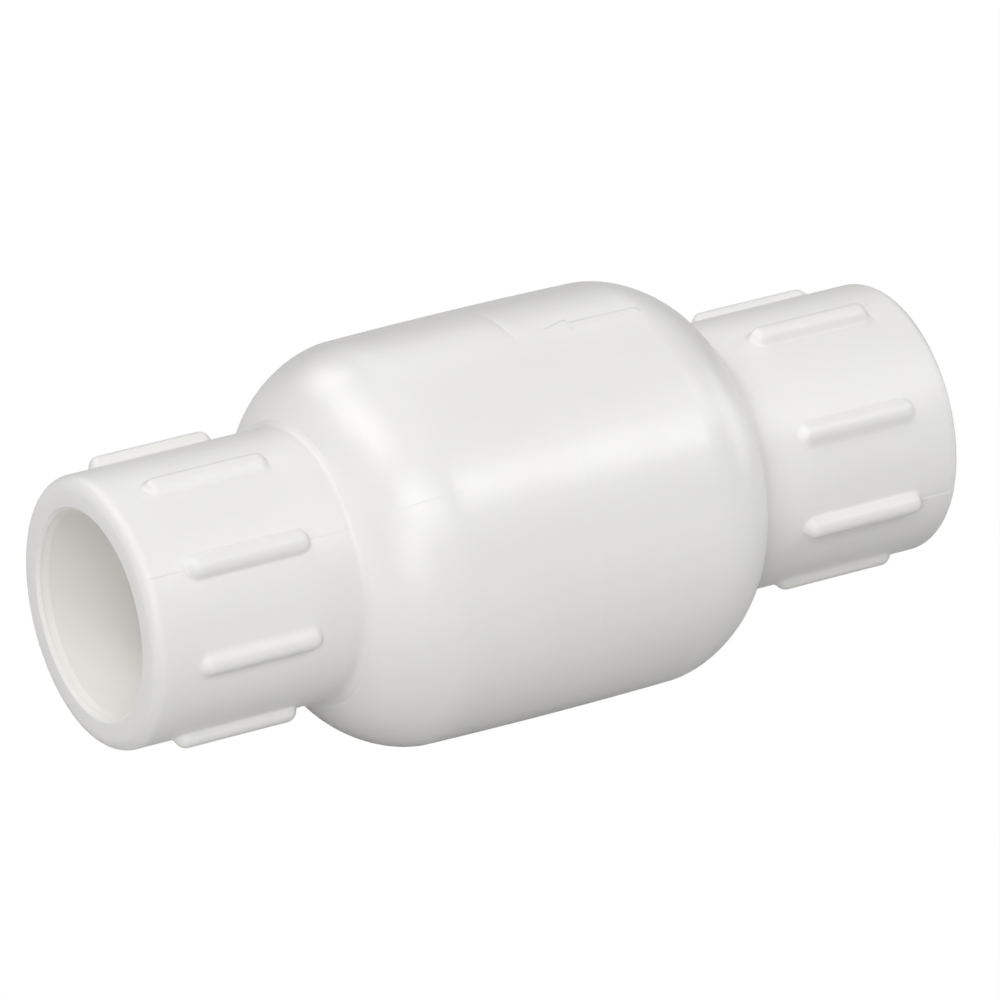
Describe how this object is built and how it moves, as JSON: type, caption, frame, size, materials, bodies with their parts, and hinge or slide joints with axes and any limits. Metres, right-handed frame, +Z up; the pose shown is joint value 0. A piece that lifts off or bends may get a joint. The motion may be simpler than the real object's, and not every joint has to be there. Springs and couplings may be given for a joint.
{
  "type": "in-line check valve",
  "caption": "In-line spring check valve with a plain pipe socket at each end, grip ribs on the sockets and a spring-loaded poppet inside.",
  "frame": {"origin": "middle of the valve on the pipe's axis, in the plane where the two halves meet", "axes": "+X along the pipe towards the inlet socket, so water flows towards -X; +Z up; ribs and seams are turned as the valve lies in view"},
  "size_m": [0.0964, 0.043, 0.043],
  "materials": {
    "shell_pvc": "white moulded PVC, satin",
    "inner_plastic": "natural moulded acetal",
    "seal_rubber": "matt black EPDM",
    "stainless": "bright stainless steel"
  },
  "bodies": {
    "valve_shell": {"inlet_half": "shell_pvc", "outlet_half": "shell_pvc", "stem_guide": "inner_plastic", "poppet_spring": "stainless"},
    "poppet_group": {"poppet": "inner_plastic", "seat_seal": "seal_rubber", "seal_retainer": "inner_plastic", "retainer_screw": "stainless"}
  },
  "joints": [
    {"name": "poppet_lift", "type": "slide", "parent": "valve_shell", "child": "poppet_group", "axis": [-1, 0, 0], "range_m": [0, 0.0055], "stiffness_N_per_m": 110, "springref_m": -0.008, "deforming": ["poppet_spring"]}
  ]
}
